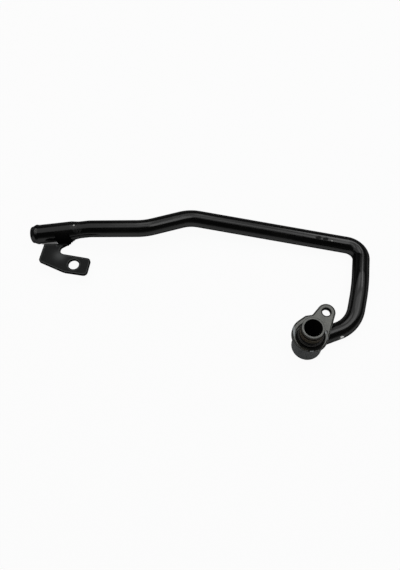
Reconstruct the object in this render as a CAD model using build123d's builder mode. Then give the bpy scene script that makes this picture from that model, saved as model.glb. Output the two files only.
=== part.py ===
from build123d import *
from math import acos, asin, atan2, cos, radians, sin, sqrt
import os

# Coolant pipe in millimetres: a bent steel tube with a beaded hose end, a blind connector
# fitting with a sealed spigot and one bolt ear, a rubber ring on the spigot and a stamped
# bracket. The origin is on the spigot's axis, in the plane where the flange seats, and +Z is
# the way the spigot points. The pipe lies as it rests on a bench, and a height is counted up
# from the bench.

# Tube
tube_od = 16.0
tube_wall = 1.5
swage_step = 1.0        # how far the hose end is opened out, on the radius
nose_step = 1.0         # how far the nose is drawn in below the hose end, on the radius
bead_rise = 0.6         # bead above the hose end, on the radius
nose_flat = 1.4         # end of the straight nose, from the tip
bead_at = 5.0           # crest of the bead, from the tip
bead_foot = 7.4         # where the bead has run out, from the tip
swage_start = 40.0      # the hose end keeps one size as far as this, from the tip
swage_length = 7.0      # cone back to the plain tube
elbow_drop = 0.3        # the elbow's corner lies lower than its rounded bend by this much
bead_drop = 1.15        # the tip's centre lies lower than the bead's by this much

# Connector fitting
barrel_od = 27.4
barrel_edge = 1.2       # rounding of the closed end
seat_height = 25.5      # bench to the flange's seat
flange_thickness = 4.0
flange_od = 32.6
flange_x = 0.1          # middle of the flange's round part
flange_y = 1.2
flange_edge = 0.6
spigot_od = 20.8
spigot_length = 18.0    # seat to mouth
pilot_od = 19.8
pilot_length = 4.0
mouth_edge = 0.4
bore_d = 16.2
floor_thickness = 2.5   # blind bottom of the bore
relief_width = 2.3      # sunk ring round the foot of the spigot
relief_depth = 2.0
ear_x = 15.9
ear_y = 22.4
ear_radius = 8.1
ear_hole_d = 7.5
shoulder_turn = 99.5    # degrees from +X to the corner where the round part runs out
shoulder_rise = 1.8     # how far that corner stands out of the round part
neck_turn = 80.3        # degrees to the hollow corner between the shoulder and the ear
neck_rise = 2.7
neck_radius = 2.5       # rounding of both corners
inlet_height = 9.6      # axis of the tube's end above the bench
socket_depth = 3.9      # how far the tube goes into the barrel
socket_clearance = 0.05

# Rubber ring
ring_section = 2.6
ring_clearance = 0.05
groove_start = 1.1      # lower wall of its groove, above the seat
groove_depth = 1.6
groove_slack = 0.4      # how much wider the groove is than the ring

# Bracket
plate_thickness = 2.2
plate_height = 9.8      # underside above the bench
plate_hole_d = 10.0
plate_hole_x = -215.0
plate_hole_y = 76.9
saddle_start = 25.6     # along the hose end, from the tip
saddle_length = 12.9
saddle_climb = 46.0     # degrees above the level where the saddle's upper edge lies
saddle_clearance = 0.05
saddle_inset = 1.0      # the plate's left end stands this far inside the saddle's
bend_radius = 2.0       # inner bend between plate and saddle
bend_root = 1.0         # how deep the bend's metal runs into both of them
bend_lead = 0.5         # the bend starts this far inside the saddle's left end
bend_tail = 3.5         # and stops this far short of its right end

# Worked out from those
tube_r = tube_od / 2
hose_r = tube_r + swage_step
nose_r = hose_r - nose_step
bead_r = hose_r + bead_rise
barrel_r = barrel_od / 2
flange_r = flange_od / 2
spigot_r = spigot_od / 2
bore_r = bore_d / 2
socket_floor = barrel_r - socket_depth
groove_r = spigot_r - groove_depth
groove_width = ring_section + groove_slack
swage_end = swage_start + swage_length
saddle_r = hose_r + saddle_clearance


def at(x, y, height):
    """A point given by its plan position and its height above the bench."""
    return Vector(x, y, height - seat_height)


# Corner points of the tube's centre line, from the hose end to the fitting
tip = at(-257.3, 110.8, bead_r - bead_drop)
hose_corner = at(-201.2, 111.2, 19.5)
shoulder_corner = at(-148.0, 108.8, 24.2)
dip_corner = at(-106.0, 125.3, 16.7)
elbow_corner = at(58.4, 97.2, tube_r - elbow_drop)
hump_corner = at(50.7, 51.4, 16.0)
entry_corner = at(42.5, 16.5, inlet_height)
bend_radii = [30.0, 31.0, 31.0, 14.6, 68.0, 28.0]

hose_way = (hose_corner - tip).normalized()
hose_side = hose_way.cross(Vector(0, 0, 1)).normalized()
swage_point = tip + hose_way * swage_end
entry_way = Vector(entry_corner.X, entry_corner.Y, 0).normalized()
tube_end = at(0, 0, inlet_height) + entry_way * socket_floor

os.makedirs("parts", exist_ok=True)

# Coolant tube: the bent run, then the formed hose end turned about its own axis
with BuildPart() as coolant_tube:
    with BuildLine():
        FilletPolyline(
            swage_point, hose_corner, shoulder_corner, dip_corner,
            elbow_corner, hump_corner, entry_corner, tube_end,
            radius=bend_radii,
        )
    with BuildSketch(Plane(origin=swage_point, z_dir=hose_way)):
        Circle(tube_r)
        Circle(tube_r - tube_wall, mode=Mode.SUBTRACT)
    sweep()
    with BuildSketch(Plane(origin=tip, x_dir=hose_way, z_dir=hose_side)):
        with BuildLine():
            skin = FilletPolyline(
                (0, nose_r - tube_wall), (0, nose_r), (nose_flat, nose_r), (bead_at, bead_r),
                (bead_foot, hose_r), (swage_start, hose_r), (swage_end, tube_r),
                radius=[0.8, 1.5, 1.4, 2.5, 8.0],
            )
            Polyline(
                skin @ 1,
                (swage_end, tube_r - tube_wall),
                (swage_start, hose_r - tube_wall),
                (bead_foot, hose_r - tube_wall),
                (nose_flat, nose_r - tube_wall),
                skin @ 0,
            )
        make_face()
    revolve(axis=Axis(tip, hose_way))
coolant_tube.part.label = "coolant_tube"
export_step(coolant_tube.part, "parts/coolant_tube.step")


def beside_flange(turn, rise):
    """A point this far outside the flange's round part, at this turn from +X in degrees."""
    away = Vector(cos(radians(turn)), sin(radians(turn)))
    return flange_middle + away * (flange_r + rise)


def touch(corner, middle, radius, side):
    """Where a line from a corner touches a circle, on its left (side 1) or its right (side -1)."""
    far = middle - corner
    turn = asin(radius / far.length) * side
    reach = sqrt(far.length ** 2 - radius ** 2) / far.length
    return corner + Vector(
        far.X * cos(turn) - far.Y * sin(turn), far.X * sin(turn) + far.Y * cos(turn)
    ) * reach


# Outline of the flange: a straight flank on the right of the ear, and a shoulder and a hollow
# neck on its left
flange_middle = Vector(flange_x, flange_y)
ear = Vector(ear_x, ear_y)
ear_way = ear - flange_middle
flank_angle = atan2(ear_way.Y, ear_way.X) - acos((flange_r - ear_radius) / ear_way.length)
flank_way = Vector(cos(flank_angle), sin(flank_angle))
shoulder = beside_flange(shoulder_turn, shoulder_rise)
neck = beside_flange(neck_turn, neck_rise)
shoulder_start = touch(shoulder, flange_middle, flange_r, -1)
neck_end = touch(neck, ear, ear_radius, 1)
barrel_height = seat_height - flange_thickness
collar_length = spigot_length - pilot_length

with BuildPart() as connector_fitting:
    with BuildSketch(Plane.XY.offset(-flange_thickness)):
        with BuildLine():
            FilletPolyline(
                flange_middle, shoulder_start, shoulder, neck, neck_end, ear, close=True,
                radius=[0, 0, neck_radius, neck_radius, 0, 0],
            )
        make_face()
        with BuildLine():
            Polyline(
                flange_middle, flange_middle + flank_way * flange_r,
                ear + flank_way * ear_radius, ear, close=True,
            )
        make_face()
        with Locations(flange_middle):
            Circle(flange_r)
        with Locations(ear):
            Circle(ear_radius)
    extrude(amount=flange_thickness)
    rims = connector_fitting.edges().group_by(Axis.Z)
    fillet(rims[0] + rims[-1], radius=flange_edge)
    with BuildSketch(Plane.XY.offset(-seat_height)):
        Circle(barrel_r)
    extrude(amount=barrel_height)
    fillet(connector_fitting.edges().group_by(Axis.Z)[0], radius=barrel_edge)
    with BuildSketch(Plane.XY):
        Circle(spigot_r + relief_width)
    extrude(amount=-relief_depth, mode=Mode.SUBTRACT)
    with BuildSketch(Plane.XY.offset(-relief_depth)):
        Circle(spigot_r)
    extrude(amount=relief_depth + collar_length)
    with BuildSketch(Plane.XY.offset(collar_length)):
        Circle(pilot_od / 2)
    extrude(amount=pilot_length)
    fillet(connector_fitting.edges().group_by(Axis.Z)[-1], radius=mouth_edge)
    with BuildSketch(Plane.XY.offset(groove_start)):
        Circle(spigot_r)
        Circle(groove_r, mode=Mode.SUBTRACT)
    extrude(amount=groove_width, mode=Mode.SUBTRACT)
    with BuildSketch(Plane.XY.offset(floor_thickness - seat_height)):
        Circle(bore_r)
    extrude(amount=seat_height - floor_thickness + spigot_length, mode=Mode.SUBTRACT)
    with BuildSketch(Plane(origin=tube_end, z_dir=entry_way)):
        Circle(tube_r + socket_clearance)
    extrude(amount=barrel_r, mode=Mode.SUBTRACT)
    with BuildSketch(Plane(origin=tube_end, z_dir=entry_way)):
        Circle(tube_r - tube_wall)
    extrude(amount=-socket_floor, mode=Mode.SUBTRACT)
    with Locations(ear):
        Hole(ear_hole_d / 2, depth=flange_thickness)
connector_fitting.part.label = "connector_fitting"
export_step(connector_fitting.part, "parts/connector_fitting.step")

# Rubber ring in the spigot's groove
ring_middle = groove_r + ring_clearance + ring_section / 2
with BuildPart() as spigot_ring:
    with BuildSketch(Plane.XZ):
        with Locations((ring_middle, groove_start + groove_width / 2)):
            Circle(ring_section / 2)
    revolve(axis=Axis.Z)
spigot_ring.part.label = "spigot_ring"
export_step(spigot_ring.part, "parts/spigot_ring.step")

# Mounting bracket: a flat plate whose back edge turns up into a saddle on the hose end
saddle_middle = tip + hose_way * (saddle_start + saddle_length / 2)
saddle_plane = Plane(origin=saddle_middle, x_dir=hose_side, z_dir=hose_way)
saddle_left = saddle_middle.X - saddle_length / 2 + saddle_inset
saddle_right = saddle_middle.X + saddle_length / 2
saddle_reach = saddle_r + plate_thickness
climb = radians(saddle_climb)
edge_plane = Plane(origin=saddle_middle, x_dir=(1, 0, 0), z_dir=(0, sin(climb), cos(climb)))
saddle_front = saddle_middle.Y - hose_r / 2
plate_bottom = plate_height - seat_height
plate_top = plate_bottom + plate_thickness


def beside_hole(x, y):
    """A corner of the plate's outline, given from the middle of its hole."""
    return (plate_hole_x + x, plate_hole_y + y)


def crease(along):
    """The point where the saddle's outer face meets the plate, this far from the tip."""
    middle = tip + hose_way * along
    front = sqrt(saddle_reach ** 2 - (middle.Z - plate_top) ** 2)
    return Vector(middle.X, middle.Y - front, plate_top)


crease_start = crease(saddle_start + bend_lead)
crease_end = crease(saddle_start + saddle_length - bend_tail)
back_corner = beside_hole(-29.7, 22.3)

with BuildPart() as mounting_bracket:
    with BuildSketch(Plane.XY.offset(plate_bottom)):
        with BuildLine():
            FilletPolyline(
                (saddle_left, back_corner[1]), back_corner, beside_hole(-33.5, 3.6),
                beside_hole(-8.6, -8.0), beside_hole(12.8, -11.5), beside_hole(16.0, 6.1),
                beside_hole(-21.0, 13.1), beside_hole(-4.6, 23.2),
                (saddle_right, saddle_front), (saddle_left, saddle_front), close=True,
                radius=[0, 2.0, 3.5, 14.0, 4.0, 3.6, 4.1, 0, 0, 0],
            )
        make_face()
    extrude(amount=plate_thickness)
    with BuildSketch(saddle_plane):
        Circle(saddle_reach)
        Rectangle(
            2 * saddle_reach, 3 * saddle_reach,
            align=(Align.MAX, Align.CENTER), mode=Mode.SUBTRACT,
        )
    extrude(amount=saddle_length / 2, both=True)
    split(bisect_by=Plane.XY.offset(plate_bottom), keep=Keep.TOP)
    split(bisect_by=edge_plane, keep=Keep.BOTTOM)
    with BuildSketch(Plane(origin=crease_start, x_dir=(0, 0, 1), z_dir=crease_end - crease_start)):
        with BuildLine():
            fold = TangentArc((0, bend_radius), (bend_radius, 0), tangent=(0, -1))
            Polyline(fold @ 1, (bend_radius, -bend_root), (0, -bend_root), fold @ 0)
        make_face()
    extrude(amount=(crease_end - crease_start).length)
    with BuildSketch(saddle_plane):
        Circle(saddle_r)
    extrude(amount=saddle_length, both=True, mode=Mode.SUBTRACT)
    with Locations((plate_hole_x, plate_hole_y, plate_top)):
        Hole(plate_hole_d / 2, depth=plate_thickness)
mounting_bracket.part.label = "mounting_bracket"
export_step(mounting_bracket.part, "parts/mounting_bracket.step")
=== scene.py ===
"""Looks of a bent coolant pipe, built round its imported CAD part.

The tube, its rubber ring, the braze round its joint and the weld at the bracket's saddle are
surfaces worked out with numpy. The fitting and the bracket keep the CAD shape, with their sharp
edges broken. All lengths are metres in the part's own frame: the origin is on the spigot's axis
in the flange's seat, and +Z is the way the spigot points.
"""

import logging
import math
from dataclasses import dataclass, field
from enum import Enum

import bmesh
import bpy
import numpy as np
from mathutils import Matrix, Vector

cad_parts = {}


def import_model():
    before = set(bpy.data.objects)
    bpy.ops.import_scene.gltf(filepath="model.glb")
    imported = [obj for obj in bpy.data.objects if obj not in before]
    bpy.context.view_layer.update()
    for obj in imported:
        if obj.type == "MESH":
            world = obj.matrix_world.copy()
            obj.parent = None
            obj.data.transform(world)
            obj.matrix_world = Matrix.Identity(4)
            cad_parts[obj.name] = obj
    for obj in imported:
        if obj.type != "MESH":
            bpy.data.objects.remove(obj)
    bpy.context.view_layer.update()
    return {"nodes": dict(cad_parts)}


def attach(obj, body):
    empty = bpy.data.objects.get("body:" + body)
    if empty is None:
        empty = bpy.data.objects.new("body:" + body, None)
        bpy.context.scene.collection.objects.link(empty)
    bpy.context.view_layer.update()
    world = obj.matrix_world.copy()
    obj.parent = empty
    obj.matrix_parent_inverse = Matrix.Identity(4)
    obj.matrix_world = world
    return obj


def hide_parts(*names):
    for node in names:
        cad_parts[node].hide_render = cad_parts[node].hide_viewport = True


LOG = logging.getLogger("coolant_pipe")
MM = 0.001
SEAT_HEIGHT = 25.5 * MM
BENCH = -SEAT_HEIGHT
PLATE_TOP = -13.5 * MM
TUBE_RADIUS = 8.0 * MM
MERGE_REACH = 0.002 * MM
FLAT_TURN = math.radians(0.4)
SHARP_TURN = math.radians(35)
LEVEL_SLACK = 0.02 * MM
UP = np.array([0.0, 0.0, 1.0])

Triple = tuple[float, float, float]
Socket = bpy.types.NodeSocket


def at(x: float, y: float, height: float) -> np.ndarray:
    """A point from millimetres in plan and its height above the bench."""
    return np.array([x, y, height]) * MM + np.array([0.0, 0.0, BENCH])


def in_metres(values: Triple) -> Triple:
    """Three millimetre values as metres."""
    return tuple(value * MM for value in values)


def unit(vector: np.ndarray) -> np.ndarray:
    """The vector at length one."""
    return vector / np.linalg.norm(vector)


# ---------------------------------------------------------------------------------------------
# Paths and surfaces


@dataclass
class Stretch:
    """One straight run or one arc of a path."""

    start: float
    length: float
    point: np.ndarray
    way: np.ndarray
    centre: np.ndarray | None = None
    axis: np.ndarray | None = None
    radius: float = 0.0


class RoundedPath:
    """Straight runs joined by tangent arcs, read at any distance along it.

    Args:
        corners: the runs' corner points, one row each.
        radii: the arc's radius at each inner corner.
    """

    def __init__(self, corners: np.ndarray, radii: list[float]) -> None:
        self.stretches: list[Stretch] = []
        self.length = 0.0
        here = corners[0]
        for corner, after, radius in zip(corners[1:-1], corners[2:], radii, strict=True):
            way_in, way_out = unit(corner - here), unit(after - corner)
            turn = math.acos(float(np.clip(way_in @ way_out, -1, 1)))
            setback = radius * math.tan(turn / 2)
            arc_start = corner - way_in * setback
            self._run(here, arc_start)
            axis = unit(np.cross(way_in, way_out))
            centre = arc_start + np.cross(axis, way_in) * radius
            arc = Stretch(self.length, radius * turn, arc_start, way_in, centre, axis, radius)
            self.stretches.append(arc)
            self.length += arc.length
            here = corner + way_out * setback
        self._run(here, corners[-1])

    def _run(self, start: np.ndarray, end: np.ndarray) -> None:
        """Adds a straight run."""
        length = float(np.linalg.norm(end - start))
        self.stretches.append(Stretch(self.length, length, start, unit(end - start)))
        self.length += length

    def frames(self, along: np.ndarray, side: np.ndarray) -> tuple[np.ndarray, ...]:
        """Points, ways and side vectors at these distances.

        On a run the point is start + way * distance. On an arc the start point and the vectors
        turn about the arc's axis by distance / radius, so the side vector never twists.

        Args:
            along: distances from the path's start.
            side: a vector across the first run.

        Returns:
            Points, unit ways, side vectors and up vectors, one row for each distance.
        """
        points, ways, sides = (np.zeros((len(along), 3)) for _ in range(3))
        side = unit(side - self.stretches[0].way * (side @ self.stretches[0].way))
        for part in self.stretches:
            last = part is self.stretches[-1]
            here = (along >= part.start - 1e-12) & (last | (along < part.start + part.length))
            far = along[here] - part.start
            if part.centre is None:
                points[here] = part.point + far[:, None] * part.way
                ways[here], sides[here] = part.way, side
                continue
            angle = far / part.radius
            points[here] = part.centre + turned(part.point - part.centre, part.axis, angle)
            ways[here] = turned(part.way, part.axis, angle)
            sides[here] = turned(side, part.axis, angle)
            side = turned(side, part.axis, np.array([part.length / part.radius]))[0]
        return points, ways, sides, np.cross(ways, sides)


def turned(vector: np.ndarray, axis: np.ndarray, angle: np.ndarray) -> np.ndarray:
    """The vector turned about an axis by each of some angles.

    With v the vector, k the axis and a the angle: v cos a + (k x v) sin a + k (k.v)(1 - cos a).

    Args:
        vector: the vector to turn.
        axis: the unit axis.
        angle: the angles.

    Returns:
        One turned vector for each angle.
    """
    cos, sin = np.cos(angle)[:, None], np.sin(angle)[:, None]
    return vector * cos + np.cross(axis, vector) * sin + axis * (axis @ vector) * (1 - cos)


def grid_quads(rows: int, columns: int) -> np.ndarray:
    """Corner numbers of the quads of a grid that closes both ways.

    Args:
        rows: rings of the grid.
        columns: points of each ring.

    Returns:
        One row of four vertex numbers for each quad.
    """
    row = np.arange(rows)[:, None]
    column = np.arange(columns)[None, :]
    next_row, next_column = (row + 1) % rows, (column + 1) % columns
    corners = (
        row * columns + column,
        row * columns + next_column,
        next_row * columns + next_column,
        next_row * columns + column,
    )
    return np.stack([np.broadcast_to(c, (rows, columns)) for c in corners], -1).reshape(-1, 4)


def new_piece(name: str, points: np.ndarray, quads: np.ndarray) -> bpy.types.Object:
    """Makes a smooth mesh piece from vertices and quads, with its faces turned outwards.

    Args:
        name: the piece's name.
        points: vertices, one row each.
        quads: vertex numbers, four to a row.

    Returns:
        The piece, linked to the scene.
    """
    mesh = bpy.data.meshes.new(name)
    mesh.vertices.add(len(points))
    mesh.vertices.foreach_set("co", points.astype(np.float32).ravel())
    mesh.loops.add(quads.size)
    mesh.loops.foreach_set("vertex_index", quads.astype(np.int32).ravel())
    mesh.polygons.add(len(quads))
    mesh.polygons.foreach_set("loop_start", np.arange(0, quads.size, 4, dtype=np.int32))
    mesh.update(calc_edges=True)
    mesh.shade_smooth()
    work = bmesh.new()
    work.from_mesh(mesh)
    bmesh.ops.recalc_face_normals(work, faces=work.faces)
    work.to_mesh(mesh)
    work.free()
    piece = bpy.data.objects.new(name, mesh)
    bpy.context.scene.collection.objects.link(piece)
    return piece


def ring_angles(count: int) -> np.ndarray:
    """Evenly spread angles once round a circle."""
    return np.linspace(0.0, 2 * np.pi, count, endpoint=False)


def edge_broken_copy(
    node: bpy.types.Object, name: str, width: float, level: float, bands: tuple[float, ...],
) -> bpy.types.Object:
    """A copy of a CAD node with its sharp edges rounded off.

    The copy's loose triangles are merged, flat ones are joined into faces, and every edge that
    turns by over 35 degrees gets a small rounding. The flat face at one height is then split
    into bands that follow its outline, and the attribute "band" numbers them from the edge.

    Args:
        node: the CAD node to copy.
        name: the copy's name.
        width: how far the rounding reaches from the edge.
        level: height of the flat face that gets the bands.
        bands: width of each band, from the edge inwards.

    Returns:
        The copy, linked to the scene.
    """
    mesh = node.data.copy()
    mesh.name = name
    mesh.materials.clear()
    work = bmesh.new()
    work.from_mesh(mesh)
    bmesh.ops.remove_doubles(work, verts=work.verts, dist=MERGE_REACH)
    bmesh.ops.dissolve_limit(work, angle_limit=FLAT_TURN, verts=work.verts, edges=work.edges)
    sharp = [e for e in work.edges if e.is_manifold and e.calc_face_angle() > SHARP_TURN]
    bmesh.ops.bevel(
        work, geom=sharp, offset=width, offset_type="OFFSET", segments=3, profile=0.5,
        affect="EDGES", clamp_overlap=True,
    )
    work.normal_update()
    band = work.faces.layers.float.new("band")
    inner = [
        f for f in work.faces
        if f.normal.z > 0.999 and abs(f.calc_center_median().z - level) < LEVEL_SLACK
    ]
    for number, reach in enumerate(bands, 1):
        ring = bmesh.ops.inset_region(work, faces=inner, thickness=reach, use_even_offset=True)
        for face in ring["faces"]:
            face[band] = number
    bmesh.ops.triangulate(work, faces=[f for f in work.faces if len(f.verts) > 4])
    work.to_mesh(mesh)
    work.free()
    mesh.shade_smooth()
    piece = bpy.data.objects.new(name, mesh)
    bpy.context.scene.collection.objects.link(piece)
    weigh = piece.modifiers.new("weighted_normals", "WEIGHTED_NORMAL")
    weigh.keep_sharp = True
    weigh.weight = 60
    return piece


# ---------------------------------------------------------------------------------------------
# Materials


class Sheet:
    """A material's node tree, with short ways to add nodes and join them.

    Args:
        name: the material's name.
    """

    def __init__(self, name: str) -> None:
        self.material = bpy.data.materials.new(name)
        self.material.use_nodes = True
        self.tree = self.material.node_tree
        self.tree.nodes.clear()
        self.out = self.tree.nodes.new("ShaderNodeOutputMaterial")
        self.shader = self.tree.nodes.new("ShaderNodeBsdfPrincipled")
        self.tree.links.new(self.shader.outputs[0], self.out.inputs["Surface"])
        self.place = self.tree.nodes.new("ShaderNodeTexCoord").outputs["Object"]
        self.gloss: Socket | float = 0.5

    def put(self, socket: Socket, value: object) -> None:
        """Sets a socket to a constant, or joins it to another node's output."""
        if isinstance(value, Socket):
            self.tree.links.new(value, socket)
        else:
            socket.default_value = value

    def math(self, what: str, *values: object, clamp: bool = False) -> Socket:
        """The result of a Math node on these constants or outputs."""
        node = self.tree.nodes.new("ShaderNodeMath")
        node.operation, node.use_clamp = what, clamp
        for socket, value in zip(node.inputs, values):
            self.put(socket, value)
        return node.outputs[0]

    def plus(self, first: object, second: object) -> Socket:
        """The sum of two values."""
        return self.math("ADD", first, second)

    def less(self, first: object, second: object) -> Socket:
        """The first value less the second."""
        return self.math("SUBTRACT", first, second)

    def times(self, first: object, second: object) -> Socket:
        """The product of two values."""
        return self.math("MULTIPLY", first, second)

    def most(self, first: object, *others: object) -> Socket:
        """The greatest of some values."""
        for other in others:
            first = self.math("MAXIMUM", first, other)
        return first

    def vector(self, what: str, *values: object) -> bpy.types.Node:
        """A Vector Math node on these constants or outputs."""
        node = self.tree.nodes.new("ShaderNodeVectorMath")
        node.operation = what
        for socket, value in zip(node.inputs, values):
            self.put(socket, value)
        return node

    def noise(self, scale: float, detail: float = 3.0, roughness: float = 0.5) -> Socket:
        """Noise from 0 to 1 on the object's own coordinates."""
        node = self.tree.nodes.new("ShaderNodeTexNoise")
        self.put(node.inputs["Vector"], self.place)
        node.inputs["Scale"].default_value = scale
        node.inputs["Detail"].default_value = detail
        node.inputs["Roughness"].default_value = roughness
        return node.outputs["Fac"]

    def cells(self, scale: float) -> Socket:
        """Distance to the nearest of many scattered points."""
        node = self.tree.nodes.new("ShaderNodeTexVoronoi")
        self.put(node.inputs["Vector"], self.place)
        node.inputs["Scale"].default_value = scale
        return node.outputs["Distance"]

    def ramp(
        self, value: object, low: float, high: float, to_low: float = 0.0, to_high: float = 1.0,
    ) -> Socket:
        """A smooth step of a value from low to high."""
        node = self.tree.nodes.new("ShaderNodeMapRange")
        node.interpolation_type = "SMOOTHSTEP"
        for socket, number in zip(node.inputs, (value, low, high, to_low, to_high)):
            self.put(socket, number)
        return node.outputs[0]

    def within(self, value: object, low: float, high: float, soft: float) -> Socket:
        """One where a value lies between low and high, with soft ends."""
        return self.times(
            self.ramp(value, low - soft, low + soft), self.ramp(value, high + soft, high - soft)
        )

    def blend(self, share: object, first: object, second: object) -> Socket:
        """Two colours mixed by a share from 0 to 1."""
        node = self.tree.nodes.new("ShaderNodeMix")
        node.data_type = "RGBA"
        colours = [s for s in node.inputs if s.type == "RGBA"]
        self.put(node.inputs[0], share)
        for socket, colour in zip(colours, (first, second)):
            self.put(socket, (*colour, 1.0) if isinstance(colour, tuple) else colour)
        return next(s for s in node.outputs if s.type == "RGBA")

    def bump(self, height: object, strength: float, distance: float) -> None:
        """Adds relief to the shader's normal, on top of any there is."""
        node = self.tree.nodes.new("ShaderNodeBump")
        node.inputs["Strength"].default_value = strength
        node.inputs["Distance"].default_value = distance
        self.put(node.inputs["Height"], height)
        before = self.shader.inputs["Normal"].links
        if before:
            self.put(node.inputs["Normal"], before[0].from_socket)
        self.put(self.shader.inputs["Normal"], node.outputs["Normal"])

    def dull(self, share: object) -> None:
        """Takes the gloss away where the share is one."""
        kept = self.math("SUBTRACT", 1.0, share, clamp=True)
        self.put(self.shader.inputs["Specular IOR Level"], self.times(self.gloss, kept))

    def band(self, number: int) -> Socket:
        """One on the outline band with this number."""
        node = self.tree.nodes.new("ShaderNodeAttribute")
        node.attribute_name = "band"
        return self.within(node.outputs["Fac"], number - 0.4, number + 0.4, soft=0.1)

    def axes(self, vector: Socket | None = None) -> bpy.types.NodeOutputs:
        """The X, Y and Z of a vector, or of the place on the object."""
        node = self.tree.nodes.new("ShaderNodeSeparateXYZ")
        self.put(node.inputs[0], self.place if vector is None else vector)
        return node.outputs

    def upward(self) -> Socket:
        """How far the surface faces up: one where it lies level, nought where it is upright."""
        return self.axes(self.tree.nodes.new("ShaderNodeNewGeometry").outputs["Normal"])["Z"]

    def from_axis(self, x: float = 0.0, y: float = 0.0) -> Socket:
        """Distance from the upright line through x and y."""
        place = self.axes()
        squares = [
            self.math("POWER", self.math("ABSOLUTE", self.less(place[name], middle)), 2.0)
            for name, middle in (("X", x), ("Y", y))
        ]
        return self.math("SQRT", self.plus(*squares))

    def from_point(self, centre: Triple, reach: Triple) -> Socket:
        """Distance from a point, counted in reaches along X, Y and Z."""
        away = self.vector("SUBTRACT", self.place, centre).outputs[0]
        return self.vector("LENGTH", self.vector("DIVIDE", away, reach).outputs[0]).outputs["Value"]

    def spot(self, centre: Triple, reach: Triple, ragged: float = 0.7) -> Socket:
        """One inside an ellipsoid round a point and nought outside, with a ragged soft edge."""
        rough = self.times(self.less(self.noise(scale=900.0), 0.5), ragged)
        return self.ramp(self.plus(self.from_point(centre, reach), rough), low=1.15, high=0.85)


class Wear(Enum):
    """Kinds of mark on the tube's paint."""

    CHIP_GLINT = "bare steel where the paint came off"
    SCUFF = "dull grey rub"
    # A pale speck: dust, and also a painted glint on the swage's shoulder.
    PALE_SPECK = "pale dust on the paint"
    DULL = "matt patch that has lost its gloss"

    @property
    def rougher(self) -> float:
        """How much rougher the mark makes the paint."""
        return {Wear.CHIP_GLINT: 0.2, Wear.SCUFF: 0.4, Wear.PALE_SPECK: 0.4, Wear.DULL: 0.7}[self]


@dataclass(frozen=True)
class Mark:
    """One mark of wear, where it lies and how far it reaches, in millimetres along X, Y and Z.

    A scuff has its own tint.
    """

    kind: Wear
    centre: Triple
    reach: Triple
    tint: Triple | None = None


@dataclass(frozen=True)
class BlackPaint:
    """Black baked paint over steel: slight orange peel, dust and handling marks, with painted
    glints on the chip and on the swage's shoulder.
    """

    name: str
    colour: Triple = (0.0012, 0.0012, 0.0012)
    pale: Triple = (0.0026, 0.0026, 0.0024)
    # Near white: bare steel where the paint came off, with a painted glint on it.
    bare: Triple = (1.0, 1.0, 0.98)
    bare_metal: float = 0.1
    dust: Triple = (0.3, 0.3, 0.29)
    dust_share: float = 0.04
    speck_and_glint: Triple = (0.42, 0.42, 0.4)
    roughness: float = 0.15
    gloss: float = 0.5
    rim_gloss: float = 0.01
    marks: tuple[Mark, ...] = ()

    def coat(self) -> tuple[Sheet, Socket, Socket]:
        """Lays the plain coat, whose gloss fades towards the rims that turn out of sight.

        Returns:
            The material's sheet, its clouded colour and its roughness.
        """
        sheet = Sheet(self.name)
        cloud = sheet.noise(scale=38.0, detail=4.0)
        dust = sheet.times(
            sheet.ramp(sheet.cells(scale=420.0), low=0.09, high=0.05),
            sheet.ramp(sheet.noise(scale=60.0), low=0.55, high=0.7),
        )
        colour = sheet.blend(sheet.ramp(cloud, low=0.35, high=0.7), self.colour, self.pale)
        colour = sheet.blend(sheet.times(dust, self.dust_share), colour, self.dust)
        uneven = sheet.ramp(cloud, low=0.3, high=0.75, to_low=-0.02, to_high=0.06)
        rough = sheet.plus(sheet.plus(self.roughness, uneven), sheet.times(dust, 0.2))
        sheet.shader.inputs["IOR"].default_value = 1.5
        tilt = sheet.tree.nodes.new("ShaderNodeLayerWeight").outputs["Facing"]
        sheet.gloss = sheet.ramp(tilt, 0.34, 0.6, to_low=self.gloss, to_high=self.rim_gloss)
        sheet.put(sheet.shader.inputs["Specular IOR Level"], sheet.gloss)
        sheet.bump(sheet.noise(scale=170.0, detail=2.0), strength=0.2, distance=0.06 * MM)
        sheet.bump(sheet.noise(scale=900.0), strength=0.06, distance=0.02 * MM)
        return sheet, colour, rough

    def material(self) -> bpy.types.Material:
        """Builds the paint's material, with its marks."""
        sheet, colour, rough = self.coat()
        fine = sheet.ramp(sheet.noise(scale=1100.0), low=0.4, high=0.62)
        metal: object = 0.0
        for mark in self.marks:
            ragged = 0.2 if mark.kind is Wear.PALE_SPECK else 0.7
            mask = sheet.spot(in_metres(mark.centre), in_metres(mark.reach), ragged)
            if mark.kind is Wear.SCUFF:
                mask = sheet.times(mask, fine)
                colour = sheet.blend(mask, colour, mark.tint)
            elif mark.kind is Wear.PALE_SPECK:
                colour = sheet.blend(mask, colour, self.speck_and_glint)
            elif mark.kind is Wear.CHIP_GLINT:
                colour = sheet.blend(mask, colour, self.bare)
                metal = sheet.most(metal, sheet.times(mask, self.bare_metal))
            rough = sheet.plus(rough, sheet.times(mask, mark.kind.rougher))
        sheet.put(sheet.shader.inputs["Base Color"], colour)
        sheet.put(sheet.shader.inputs["Roughness"], rough)
        sheet.put(sheet.shader.inputs["Metallic"], metal)
        return sheet.material


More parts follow.
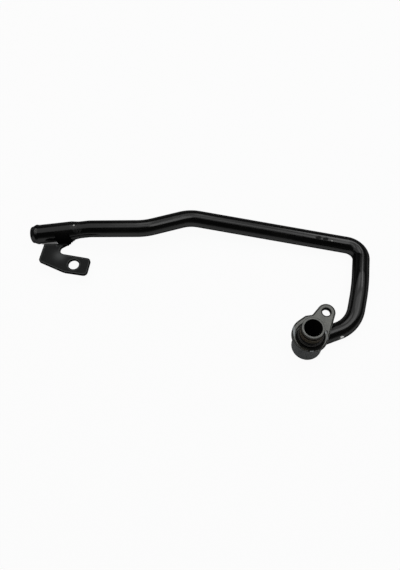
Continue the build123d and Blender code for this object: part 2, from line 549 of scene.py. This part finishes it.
@dataclass(frozen=True)
class BracketPaint(BlackPaint):
    """The bracket's satin coat, greyer on the plate's top, with painted shade (near-black sides and
    a dark outline band at the top's edge) and painted highlights (a pale line inside that band and
    a soft spot).
    """

    roughness: float = 0.38
    gloss: float = 0.08
    plate: Triple = (0.0045, 0.0047, 0.0047)
    worn: Triple = (0.0095, 0.0099, 0.0099)
    line: Triple = (0.036, 0.037, 0.037)
    edge_highlight_share: float = 0.8
    plate_top: float = PLATE_TOP
    painted_highlight: Triple = (0.05, 0.052, 0.052)
    painted_highlight_share: float = 0.85
    painted_highlight_place: Triple = (-228.6 * MM, 86.5 * MM, PLATE_TOP)
    painted_highlight_reach: Triple = (5.5 * MM, 5.0 * MM, 4.0 * MM)

    def material(self) -> bpy.types.Material:
        """Builds the bracket's material, whose painted highlight spot falls off as
        exp(-distance^2).
        """
        sheet, colour, rough = self.coat()
        low, high = self.plate_top - 0.6 * MM, self.plate_top + 0.4 * MM
        level = sheet.within(sheet.axes()["Z"], low, high, soft=0.1 * MM)
        face = sheet.times(level, sheet.ramp(sheet.upward(), low=0.93, high=0.998))
        grain = sheet.noise(scale=1400.0)
        satin = sheet.blend(sheet.ramp(grain, low=0.3, high=0.7), self.plate, self.worn)
        # Painted highlight: a soft pale spot on the plate's top, fading as exp(-distance^2).
        far = sheet.from_point(self.painted_highlight_place, self.painted_highlight_reach)
        highlight_falloff = sheet.math("EXPONENT", sheet.times(sheet.math("POWER", far, 2.0), -1.0))
        satin = sheet.blend(sheet.times(highlight_falloff, self.painted_highlight_share), satin, self.painted_highlight)
        # Painted highlight: a pale line on the second band in from the top's edge. Painted shade:
        # the first band, at the edge, in the coat's near black.
        satin = sheet.blend(sheet.times(sheet.band(2), self.edge_highlight_share), satin, self.line)
        satin = sheet.blend(sheet.band(1), satin, self.colour)
        sheet.dull(sheet.less(1.0, sheet.times(face, sheet.less(1.0, sheet.band(1)))))
        # Painted shade: only the plate's level top gets the greyer coat; the sides and the saddle
        # keep the near-black coat colour.
        sheet.put(sheet.shader.inputs["Base Color"], sheet.blend(face, colour, satin))
        sheet.put(sheet.shader.inputs["Roughness"], rough)
        return sheet.material


@dataclass(frozen=True)
class PlatedSteel:
    """The fitting's dull grey steel, rough as cast, stained brown on the spigot's side, with
    painted shade on its upright walls, its rounded edges, its outline band and its recesses.
    """

    name: str
    colour: Triple = (0.084, 0.086, 0.079)
    pale: Triple = (0.132, 0.134, 0.124)
    # Colours of the upright walls, darker than the level faces as painted shade.
    side: Triple = (0.045, 0.05, 0.052)
    shaded_side_pale: Triple = (0.06, 0.066, 0.068)
    grime_and_shade: Triple = (0.006, 0.006, 0.0055)
    smear: Triple = (0.03, 0.028, 0.022)
    rust: Triple = (0.095, 0.066, 0.038)
    gold: Triple = (0.085, 0.073, 0.042)
    dark_tone: Triple = (0.0045, 0.0038, 0.0032)
    pale_and_highlight: Triple = (0.24, 0.26, 0.27)
    roughness: float = 0.5
    metallic: float = 0.2
    stain_and_shade_share: float = 0.97
    outline_shade_share: float = 0.92
    edge_shade_share: float = 0.88
    dulled: float = 0.85
    spigot_radius: float = 10.4 * MM
    relief_radius: float = 12.7 * MM
    bore_radius: float = 8.1 * MM
    spigot_length: float = 18.0 * MM
    ring_crest: float = 12.9 * MM
    ring_pitch: float = 3.4 * MM
    shade_lean: float = -1.5 * MM
    ear: tuple[float, float] = (15.9 * MM, 22.4 * MM)
    ear_hole: float = 3.75 * MM

    def material(self) -> bpy.types.Material:
        """Builds the fitting's material."""
        sheet = Sheet(self.name)
        shader = sheet.shader
        grain = sheet.noise(scale=2600.0, roughness=0.6)
        cloud = sheet.noise(scale=190.0, detail=4.0, roughness=0.55)
        clouded = sheet.ramp(cloud, low=0.3, high=0.7)
        pits = sheet.times(
            sheet.ramp(sheet.cells(scale=900.0), low=0.16, high=0.08),
            sheet.ramp(sheet.noise(scale=330.0), low=0.5, high=0.62),
        )
        colour = sheet.blend(clouded, self.colour, self.pale)
        colour = sheet.blend(sheet.ramp(grain, low=0.6, high=0.8, to_high=0.5), colour, self.grime_and_shade)
        colour = sheet.blend(sheet.times(pits, 0.7), colour, self.grime_and_shade)
        # Painted shade: upright walls get the darker side colours, and level faces keep the plain
        # metal colours.
        shaded_walls = sheet.blend(clouded, self.side, self.shaded_side_pale)
        colour = sheet.blend(sheet.ramp(sheet.upward(), low=0.75, high=0.99), shaded_walls, colour)
        height = sheet.axes()["Z"]
        colour, wall = self.stain_spigot(sheet, colour, height)
        # Painted shade: the sunk ring, the bore and the ring round the ear's hole are darkened to
        # near black.
        black = self.painted_recess_shade(sheet, height)
        colour = sheet.blend(sheet.times(black, self.stain_and_shade_share), colour, self.grime_and_shade)
        # Painted shade: the outline band round the flange's top and the rounded edges are darkened.
        outline = sheet.band(1)
        colour = sheet.blend(sheet.times(outline, self.outline_shade_share), colour, self.grime_and_shade)
        rounded = sheet.within(sheet.upward(), 0.3, 0.96, soft=0.03)
        edges = sheet.times(rounded, self.edge_shade_share)
        colour = sheet.blend(edges, colour, self.grime_and_shade)
        sheet.dull(sheet.times(sheet.most(black, wall, outline, edges), self.dulled))
        sheet.put(shader.inputs["Base Color"], self.mark_flange(sheet, colour))
        rough = sheet.ramp(cloud, 0.3, 0.7, to_low=self.roughness, to_high=self.roughness + 0.15)
        sheet.put(shader.inputs["Roughness"], sheet.plus(rough, sheet.times(black, 0.3)))
        shader.inputs["Metallic"].default_value = self.metallic
        sheet.bump(grain, strength=0.35, distance=0.05 * MM)
        sheet.bump(sheet.less(cloud, pits), strength=0.3, distance=0.1 * MM)
        return sheet.material

    def painted_recess_shade(self, sheet: Sheet, height: Socket) -> Socket:
        """One where painted shade goes: the sunk ring round the spigot, spread further towards the
        front, the spigot's bore and a ring round the ear's hole.

        Args:
            sheet: the material's sheet.
            height: height above the seat.

        Returns:
            The share of black.
        """
        spread = sheet.from_axis(0.0, self.shade_lean)
        inner, outer = self.spigot_radius - 3.0 * MM, self.relief_radius + 0.1 * MM
        sunk = sheet.times(
            sheet.within(spread, inner, outer, soft=0.15 * MM),
            sheet.ramp(height, low=4.3 * MM, high=3.6 * MM),
        )
        sunk = sheet.times(sunk, sheet.ramp(height, low=-3.0 * MM, high=-2.5 * MM))
        bore, tip = self.bore_radius, self.spigot_length
        inside = sheet.times(
            sheet.ramp(sheet.from_axis(), low=bore + 0.25 * MM, high=bore + 0.05 * MM),
            sheet.ramp(height, low=tip - 0.1 * MM, high=tip - 0.5 * MM),
        )
        rim = self.ear_hole
        hole = sheet.ramp(sheet.from_axis(*self.ear), low=rim + 1.15 * MM, high=rim + 0.6 * MM)
        return sheet.most(sunk, inside, hole)

    def stain_spigot(
        self, sheet: Sheet, colour: Socket, height: Socket
    ) -> tuple[Socket, Socket]:
        """Lays the spigot side's brown stain over the metal, in rings as cos(2 pi height/pitch),
        darker between the rings and towards the seat, with a dark band under the lip that is
        painted shade of its groove.

        Args:
            sheet: the material's sheet.
            colour: the metal's colour so far.
            height: height above the seat.

        Returns:
            The stained colour, and one where the spigot's side is stained.
        """
        tip = self.spigot_length
        inner, outer = self.spigot_radius - 0.8 * MM, self.spigot_radius + 0.3 * MM
        wall = sheet.times(
            sheet.within(sheet.from_axis(), inner, outer, soft=0.1 * MM),
            sheet.ramp(height, low=tip - 0.3 * MM, high=tip - 1.1 * MM),
        )
        turns = sheet.times(sheet.less(height, self.ring_crest), 2 * math.pi / self.ring_pitch)
        stir = sheet.times(sheet.less(sheet.noise(scale=300.0), 0.5), 0.7)
        wave = sheet.plus(sheet.math("COSINE", turns), stir)
        rings = sheet.times(
            sheet.ramp(wave, low=-0.5, high=0.8), sheet.ramp(height, low=6.8 * MM, high=9.5 * MM)
        )
        patchy = sheet.ramp(sheet.noise(scale=150.0), low=0.4, high=0.6)
        tone = sheet.blend(rings, self.dark_tone, sheet.blend(patchy, self.rust, self.gold))
        # Painted shade: a dark band under the lip, where its groove is shaded.
        painted_lip_shade = sheet.within(height, 15.9 * MM, 16.7 * MM, soft=0.3 * MM)
        tone = sheet.blend(sheet.times(painted_lip_shade, 0.8), tone, self.dark_tone)
        return sheet.blend(sheet.times(wall, self.stain_and_shade_share), colour, tone), wall

    def mark_flange(self, sheet: Sheet, colour: Socket) -> Socket:
        """Lays over the metal a pale strip on the flange's left, a dent drawn as painted shade with
        painted highlights beside it, a painted glint on a burr at the front edge, and a dark smear.

        Args:
            sheet: the material's sheet.
            colour: the metal's colour so far.

        Returns:
            The marked colour.
        """
        # Centre and reach in millimetres, the share of the tint, and the tint.
        marks = (
            ((-14.0, 4.5, 0.0), (1.0, 5.5, 0.6), 0.6, self.pale_and_highlight),
            # The next three rows draw a dent as painted shade with painted highlights beside it;
            # the row after is a painted glint on a burr at the front edge.
            ((14.9, 3.6, 0.0), (0.8, 1.6, 0.6), 0.8, self.grime_and_shade),
            ((13.9, 2.6, 0.0), (0.5, 1.3, 0.6), 0.8, self.pale_and_highlight),
            ((14.6, -2.0, 0.0), (0.5, 1.6, 0.6), 0.5, self.pale_and_highlight),
            ((0.6, -14.6, 0.0), (1.8, 0.5, 0.6), 0.7, self.pale_and_highlight),
            ((-7.0, -12.5, 0.0), (5.0, 2.0, 0.6), 0.5, self.smear),
        )
        for centre, reach, share, tint in marks:
            mask = sheet.spot(in_metres(centre), in_metres(reach))
            colour = sheet.blend(sheet.times(mask, share), colour, tint)
        return colour


@dataclass(frozen=True)
class RingRubber:
    """Matt black rubber with a fine skin."""

    name: str
    colour: Triple = (0.008, 0.0075, 0.007)
    pale: Triple = (0.016, 0.015, 0.013)
    roughness: float = 0.45

    def material(self) -> bpy.types.Material:
        """Builds the rubber's material."""
        sheet = Sheet(self.name)
        cloud = sheet.noise(scale=240.0, detail=4.0)
        colour = sheet.blend(sheet.ramp(cloud, low=0.35, high=0.7), self.colour, self.pale)
        rough = sheet.ramp(cloud, 0.3, 0.7, to_low=self.roughness, to_high=self.roughness + 0.15)
        sheet.put(sheet.shader.inputs["Base Color"], colour)
        sheet.put(sheet.shader.inputs["Roughness"], rough)
        sheet.bump(sheet.noise(scale=1500.0), strength=0.15, distance=0.03 * MM)
        return sheet.material


# ---------------------------------------------------------------------------------------------
# The pipe's pieces


TUBE_MARKS = (
    # A chip of bare steel, painted near white so that it also serves as a painted glint.
    Mark(Wear.CHIP_GLINT, (30.7, 3.4, -13.4), (2.3, 1.5, 1.5)),
    Mark(Wear.SCUFF, (28.4, 2.6, -13.4), (2.4, 1.0, 0.9), (0.12, 0.12, 0.11)),
    # Painted glint on the swage's shoulder, laid as a pale speck.
    Mark(Wear.PALE_SPECK, (-215.4, 111.7, -0.4), (0.8, 0.8, 0.8)),
    Mark(Wear.SCUFF, (-212.0, 108.0, -1.0), (4.5, 5.5, 3.0), (0.008, 0.008, 0.0075)),
    Mark(Wear.DULL, (16.2, 102.7, -7.7), (2.8, 1.7, 1.5)),
    Mark(Wear.DULL, (22.9, 101.5, -8.1), (2.6, 1.6, 1.5)),
    Mark(Wear.PALE_SPECK, (28.8, 99.8, -8.6), (0.5, 0.5, 0.5)),
    Mark(Wear.SCUFF, (-252.4, 109.0, -7.1), (1.6, 3.0, 1.5), (0.03, 0.03, 0.028)),
)


@dataclass
class CoolantTube:
    """The bent tube with its formed hose end, as one closed skin.

    The route's corners and bends, the skin's and lining's (distance, radius) profiles and their
    corner radii are in millimetres.
    """

    radius: float = TUBE_RADIUS
    wall: float = 1.5 * MM
    swage: float = 47.0 * MM
    mouth: float = 0.3 * MM
    around: int = 88
    skin_rings: int = 170
    plain_rings: int = 560
    inside_rings: int = 230
    lining_rings: int = 50
    route: tuple[Triple, ...] = (
        (-257.3, 110.8, 8.45),
        (-201.2, 111.2, 19.5),
        (-148.0, 108.8, 24.2),
        (-106.0, 125.3, 16.7),
        (58.4, 97.2, 7.7),
        (50.7, 51.4, 16.0),
        (42.5, 16.5, 9.6),
    )
    bends: tuple[float, ...] = (30.0, 31.0, 31.0, 14.6, 68.0, 28.0)
    socket_floor: float = 9.8
    skin: tuple[tuple[float, float], ...] = (
        (0.0, 6.5), (0.0, 8.0), (1.4, 8.0), (5.0, 9.6), (7.4, 9.0), (40.0, 9.0), (47.0, 8.0),
        (60.0, 8.0),
    )
    skin_radii: tuple[float, ...] = (0.8, 1.5, 1.4, 2.5, 8.0, 8.0)
    lining: tuple[tuple[float, float], ...] = (
        (0.0, 6.5), (1.4, 6.5), (7.4, 7.5), (40.0, 7.5), (47.0, 6.5),
    )
    finish: BlackPaint = field(default_factory=lambda: BlackPaint("tube_paint", marks=TUBE_MARKS))

    def path(self) -> RoundedPath:
        """The tube's middle line, from the hose end to the fitting's socket."""
        corners = [at(*corner) for corner in self.route]
        entry = unit(np.array([self.route[-1][0], self.route[-1][1], 0.0]))
        corners.append(at(0, 0, self.route[-1][2]) + entry * self.socket_floor * MM)
        return RoundedPath(np.array(corners), [bend * MM for bend in self.bends])

    def rings(self, length: float) -> np.ndarray:
        """Distance along the tube and radius of each ring, outside first and then back inside.

        The outside follows the formed end's rounded profile and then the plain tube, and the
        inside runs back from the socket to the mouth.

        Args:
            length: the tube's length along its middle line.

        Returns:
            One row of distance and radius for each ring.
        """
        profile = RoundedPath(
            np.array([(x, r, 0.0) for x, r in self.skin]) * MM, [r * MM for r in self.skin_radii]
        )
        steps = np.linspace(0.0, profile.length, self.skin_rings)
        formed = profile.frames(steps, UP)[0][:, :2]
        plain = np.linspace(self.skin[-1][0] * MM, length, self.plain_rings)[1:]
        outside = np.column_stack([plain, np.full_like(plain, self.radius)])
        back = np.linspace(length, self.swage, self.inside_rings)
        inside = np.column_stack([back, np.full_like(back, self.radius - self.wall)])
        knots = np.array(self.lining) * MM
        mouth = np.linspace(self.swage, self.mouth, self.lining_rings)[1:]
        lined = np.column_stack([mouth, np.interp(mouth, knots[:, 0], knots[:, 1])])
        return np.concatenate([formed, outside, inside, lined])

    def build(self) -> bpy.types.Object:
        """Makes the tube: point = middle(s) + r(s) (side cos a + up sin a), closed both ways."""
        path = self.path()
        rings = self.rings(path.length)
        middle, _, side, up = path.frames(rings[:, 0], UP)
        angle = ring_angles(self.around)[:, None]
        out = side[:, None] * np.cos(angle) + up[:, None] * np.sin(angle)
        points = middle[:, None] + rings[:, 1, None, None] * out
        quads = grid_quads(len(rings), self.around)
        piece = new_piece("tube_skin", points.reshape(-1, 3), quads)
        piece.data.materials.append(self.finish.material())
        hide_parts("coolant_tube")
        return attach(piece, "root")


@dataclass
class ConnectorFitting:
    """The steel fitting, and the braze that joins the tube to its barrel."""

    barrel_radius: float = 13.7 * MM
    tube_radius: float = TUBE_RADIUS
    inlet: tuple[float, float] = (42.5, 16.5)
    inlet_height: float = 9.6
    braze: float = 0.9 * MM
    braze_around: int = 96
    braze_steps: int = 9
    sunk_in_tube: float = 0.4 * MM
    sunk_in_barrel: float = 0.6 * MM
    edge: float = 0.22 * MM
    seat: float = 0.0
    outline: tuple[float, ...] = (0.75 * MM,)
    finish: PlatedSteel = field(default_factory=lambda: PlatedSteel("fitting_metal"))

    def build_body(self, node: bpy.types.Object) -> bpy.types.Object:
        """Makes the fitting's body from the CAD shape.

        Args:
            node: the fitting's CAD node.

        Returns:
            The body, dressed and riding on the root.
        """
        piece = edge_broken_copy(node, "fitting_body", self.edge, self.seat, self.outline)
        piece.data.materials.append(self.finish.material())
        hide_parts("connector_fitting")
        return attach(piece, "root")

    def build_braze(self) -> bpy.types.Object:
        """Makes the braze: a ring whose section is a small hollow triangle.

        At an angle a round the tube the barrel's wall is sqrt(R^2 - (r sin a)^2) from its axis,
        with r the distance from the tube's axis. The section's foot stands on the barrel at
        r + braze and its toe on the tube, with a hollow curve between them. Two slow waves round
        the tube make its width uneven.
        """
        entry = unit(np.array([*self.inlet, 0.0]))
        across = np.array([-entry[1], entry[0], 0.0])
        centre = at(0, 0, self.inlet_height)
        angle = ring_angles(self.braze_around)[None, :]
        share = np.linspace(0.0, 1.0, self.braze_steps)[:, None]
        ripple = 1 + 0.12 * np.sin(7 * angle + 0.8) + 0.07 * np.sin(17 * angle)
        lift = self.braze * ripple * (1 - share) ** 2
        reach = self.braze * ripple * share ** 2
        core = np.ones_like(angle)
        core_radius = core * (self.tube_radius - self.sunk_in_tube)
        radius = np.concatenate([self.tube_radius + lift, core_radius])
        push = np.concatenate([reach - 0.02 * MM, -core * self.sunk_in_barrel])
        out = radius * np.sin(angle)
        along = np.sqrt(self.barrel_radius ** 2 - out ** 2) + push
        points = (
            centre
            + along[..., None] * entry
            + out[..., None] * across
            + (radius * np.cos(angle))[..., None] * UP
        )
        quads = grid_quads(self.braze_steps + 1, self.braze_around)
        piece = new_piece("braze_fillet", points.reshape(-1, 3), quads)
        piece.data.materials.append(BlackPaint("braze_paint", roughness=0.34).material())
        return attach(piece, "root")


@dataclass
class SpigotRing:
    """The rubber ring, a round section with the thin flash of its mould."""

    middle: float = 10.15 * MM
    section: float = 1.3 * MM
    height: float = 2.6 * MM
    flash: float = 0.03 * MM
    flash_spread: float = 0.08
    around: int = 180
    across: int = 48
    finish: RingRubber = field(default_factory=lambda: RingRubber("ring_rubber"))

    def build(self) -> bpy.types.Object:
        """Makes the ring: radius = middle + b cos a, and height = height + b sin a.

        The section's radius b is section - flash * (1 - exp(-(sin a / spread)^2)), so that the
        flash stands out at the section's inner and outer edge.
        """
        turn = ring_angles(self.around)[:, None]
        angle = ring_angles(self.across)[None, :]
        ridge = np.exp(-(np.sin(angle) / self.flash_spread) ** 2)
        bulge = self.section - self.flash + self.flash * ridge
        radius = self.middle + bulge * np.cos(angle)
        height = self.height + bulge * np.sin(angle) + 0 * turn
        points = np.stack([radius * np.cos(turn), radius * np.sin(turn), height], -1)
        quads = grid_quads(self.around, self.across)
        piece = new_piece("rubber_ring", points.reshape(-1, 3), quads)
        piece.data.materials.append(self.finish.material())
        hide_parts("spigot_ring")
        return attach(piece, "root")


@dataclass
class MountingBracket:
    """The stamped bracket, with its sheared edges broken, and the weld at its saddle's end."""

    edge: float = 0.3 * MM
    plate_top: float = PLATE_TOP
    outline: tuple[float, ...] = (0.7 * MM, 0.8 * MM)
    weld_start: float = 36.4 * MM
    weld_length: float = 6.6 * MM
    weld_width: float = 2.2 * MM
    weld_turn: float = math.radians(-30.0)
    weld_depth: float = 0.2 * MM
    weld_sinks: float = 1.3 * MM
    weld_core: float = 0.02 * MM
    weld_rings: int = 60
    weld_around: int = 28
    hose_radius: float = 9.0 * MM
    finish: BracketPaint = field(default_factory=lambda: BracketPaint("bracket_paint"))

    def build(self, node: bpy.types.Object) -> bpy.types.Object:
        """Makes the bracket from the CAD shape.

        Args:
            node: the bracket's CAD node.

        Returns:
            The bracket, dressed and riding on the root.
        """
        piece = edge_broken_copy(node, "bracket_plate", self.edge, self.plate_top, self.outline)
        piece.data.materials.append(self.finish.material())
        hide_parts("mounting_bracket")
        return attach(piece, "root")

    def build_weld(self, path: RoundedPath) -> bpy.types.Object:
        """Makes the weld that runs out of the saddle along the hose end's lower side.

        Its middle line keeps one turn round the tube and sinks into it towards its thin end. Its
        radius is width * sqrt(sin(pi t^0.6)) with a ripple, where t runs from nought to one, and
        the skin comes back inside itself as a thin core, so that it is closed.

        Args:
            path: the tube's middle line.

        Returns:
            The weld, dressed and riding on the root.
        """
        share = np.linspace(0.004, 0.996, self.weld_rings)
        middle, way, side, up = path.frames(self.weld_start + share * self.weld_length, UP)
        outward = up * math.cos(self.weld_turn) + side * math.sin(self.weld_turn)
        across = np.cross(way, outward)
        bulge = np.sqrt(np.sin(np.pi * share ** 0.6)) * (1 + 0.06 * np.sin(34 * share))
        radius = self.weld_width * bulge
        out = self.hose_radius - self.weld_depth - self.weld_sinks * share
        middle = middle + outward * out[:, None]
        middle, outward, across = (np.concatenate([v, v[::-1]]) for v in (middle, outward, across))
        radius = np.concatenate([radius, np.full_like(radius, self.weld_core)])
        angle = ring_angles(self.weld_around)[:, None]
        around = outward[:, None] * np.cos(angle) + across[:, None] * np.sin(angle)
        points = middle[:, None] + radius[:, None, None] * around
        quads = grid_quads(len(radius), self.weld_around)
        piece = new_piece("saddle_weld", points.reshape(-1, 3), quads)
        piece.data.materials.append(BlackPaint("weld_paint", roughness=0.4, gloss=0.2).material())
        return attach(piece, "root")


# ---------------------------------------------------------------------------------------------
# Studio


@dataclass(frozen=True)
class SoftLight:
    """A soft rectangular lamp that hangs level and shines down."""

    name: str
    place: Triple
    size: tuple[float, float]
    brightness: float
    seen_in_gloss: bool = True

    @property
    def watts(self) -> float:
        """The power that gives the lamp's face its brightness."""
        return 4 * self.size[0] * self.size[1] * self.brightness


@dataclass
class Studio:
    """Pale bench, soft lights and the photograph's camera."""

    target: Triple = (-0.09626, 0.06129, -0.0255)
    camera: Triple = (-0.09626, -0.21707, 0.5531)
    focal_px: float = 679.2
    frame_px: int = 570
    bench_half: float = 6.0
    bench_grey: float = 0.4
    white_to_camera: float = 0.95
    white_in_gloss: float = 0.1
    hose_shadow: Triple = (-243.0 * MM, 107.6 * MM, BENCH)
    hose_shadow_reach: Triple = (9.5 * MM, 3.4 * MM, 2.0 * MM)
    hose_shadow_share: float = 0.88
    room_level: float = 0.1
    overhead_level: float = 0.02
    overhead_from: float = 0.45
    lights: tuple[SoftLight, ...] = (
        SoftLight("back_soft_box", (-0.21, 0.85, 1.0), (0.54, 0.7), 0.75),
        SoftLight("right_soft_box", (0.5, 0.8, 1.0), (0.36, 0.8), 1.7),
        SoftLight("middle_soft_box", (-0.1, 0.19, 1.0), (0.8, 0.2), 0.8),
        SoftLight("side_soft_box", (0.4, 0.05, 1.0), (0.5, 0.5), 1.1),
        SoftLight("ceiling", (-0.1, 0.6, 1.15), (3.4, 1.6), 0.5),
        SoftLight("fill", (-0.1, 0.1, 1.6), (2.0, 2.0), 1.4, seen_in_gloss=False),
    )

    def place_camera(self) -> None:
        """Puts the camera where the photograph was taken from."""
        data = bpy.data.cameras.new("camera")
        data.sensor_width = 36.0
        data.lens = self.focal_px / self.frame_px * data.sensor_width
        data.clip_start, data.clip_end = 0.01, 20.0
        camera = bpy.data.objects.new("camera", data)
        camera.location = self.camera
        camera.rotation_euler = (
            (Vector(self.target) - Vector(self.camera)).to_track_quat("-Z", "Y").to_euler()
        )
        bpy.context.scene.collection.objects.link(camera)
        bpy.context.scene.camera = camera

    def place_lights(self) -> None:
        """Hangs the lamps over the bench."""
        for light in self.lights:
            data = bpy.data.lights.new(light.name, "AREA")
            data.shape, data.energy = "RECTANGLE", light.watts
            data.size, data.size_y = light.size
            lamp = bpy.data.objects.new(light.name, data)
            lamp.location = light.place
            lamp.visible_glossy = light.seen_in_gloss
            bpy.context.scene.collection.objects.link(lamp)

    def lay_bench(self) -> bpy.types.Object:
        """Lays the white bench.

        The camera sees it as plain white but for a little of its shadow, and just under the hose
        end it sees mostly the matt bench with its shadow.

        Returns:
            The bench, staged.
        """
        mesh = bpy.data.meshes.new("bench")
        half, low = self.bench_half, BENCH
        corners = [(-half, -half, low), (half, -half, low), (half, half, low), (-half, half, low)]
        mesh.from_pydata(corners, [], [(0, 1, 2, 3)])
        bench = bpy.data.objects.new("bench", mesh)
        bpy.context.scene.collection.objects.link(bench)
        sheet = Sheet("bench_white")
        tree = sheet.tree
        matt = tree.nodes.new("ShaderNodeBsdfDiffuse")
        matt.inputs["Color"].default_value = (*[self.bench_grey] * 3, 1.0)
        plain = tree.nodes.new("ShaderNodeEmission")
        plain.inputs["Strength"].default_value = 1.0
        rays = tree.nodes.new("ShaderNodeLightPath")
        mirrored = sheet.plus(rays.outputs["Is Glossy Ray"], rays.outputs["Is Transmission Ray"])
        under_hose = sheet.spot(self.hose_shadow, self.hose_shadow_reach, ragged=0.2)
        lit = sheet.less(1.0, sheet.times(under_hose, self.hose_shadow_share))
        white = sheet.times(lit, self.white_to_camera)
        seen = sheet.math(
            "ADD", sheet.times(rays.outputs["Is Camera Ray"], white),
            sheet.times(mirrored, self.white_in_gloss), clamp=True,
        )
        mix = tree.nodes.new("ShaderNodeMixShader")
        sheet.put(mix.inputs[0], seen)
        sheet.put(mix.inputs[1], matt.outputs[0])
        sheet.put(mix.inputs[2], plain.outputs[0])
        sheet.put(sheet.out.inputs["Surface"], mix.outputs[0])
        tree.nodes.remove(sheet.shader)
        mesh.materials.append(sheet.material)
        return bench

    def light_world(self) -> None:
        """Fills the room with a dim light that is weaker overhead."""
        world = bpy.data.worlds.new("room")
        world.use_nodes = True
        tree = world.node_tree
        way = tree.nodes.new("ShaderNodeTexCoord").outputs["Generated"]
        parts = tree.nodes.new("ShaderNodeSeparateXYZ")
        tree.links.new(way, parts.inputs[0])
        level = tree.nodes.new("ShaderNodeMapRange")
        level.interpolation_type = "SMOOTHSTEP"
        numbers = (0.0, self.overhead_from, self.room_level, self.overhead_level)
        for socket, number in zip(level.inputs[1:5], numbers):
            socket.default_value = number
        tree.links.new(parts.outputs["Z"], level.inputs[0])
        tree.links.new(level.outputs[0], tree.nodes["Background"].inputs["Strength"])
        tree.nodes["Background"].inputs["Color"].default_value = (1, 1, 1, 1)
        bpy.context.scene.world = world
        bpy.context.scene.view_settings.view_transform = "Standard"


def plain(box: tuple[Vector, Vector]) -> list[list[float]]:
    """A box's two corners as plain lists."""
    return [[float(value) for value in corner] for corner in box]


def main() -> None:
    """Builds the pipe's pieces and the studio, and logs each piece's face count."""
    logging.basicConfig(level=logging.INFO, format="%(message)s")
    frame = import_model()
    nodes = frame["nodes"]
    tube, fitting, bracket = CoolantTube(), ConnectorFitting(), MountingBracket()
    pieces = [
        tube.build(),
        fitting.build_body(nodes["connector_fitting"]),
        fitting.build_braze(),
        SpigotRing().build(),
        bracket.build(nodes["mounting_bracket"]),
        bracket.build_weld(tube.path()),
    ]
    for piece in pieces:
        LOG.info("%s: %d faces", piece.name, len(piece.data.polygons))
    studio = Studio()
    studio.lay_bench()
    studio.place_lights()
    studio.light_world()
    studio.place_camera()


if __name__ == "__main__":
    main()
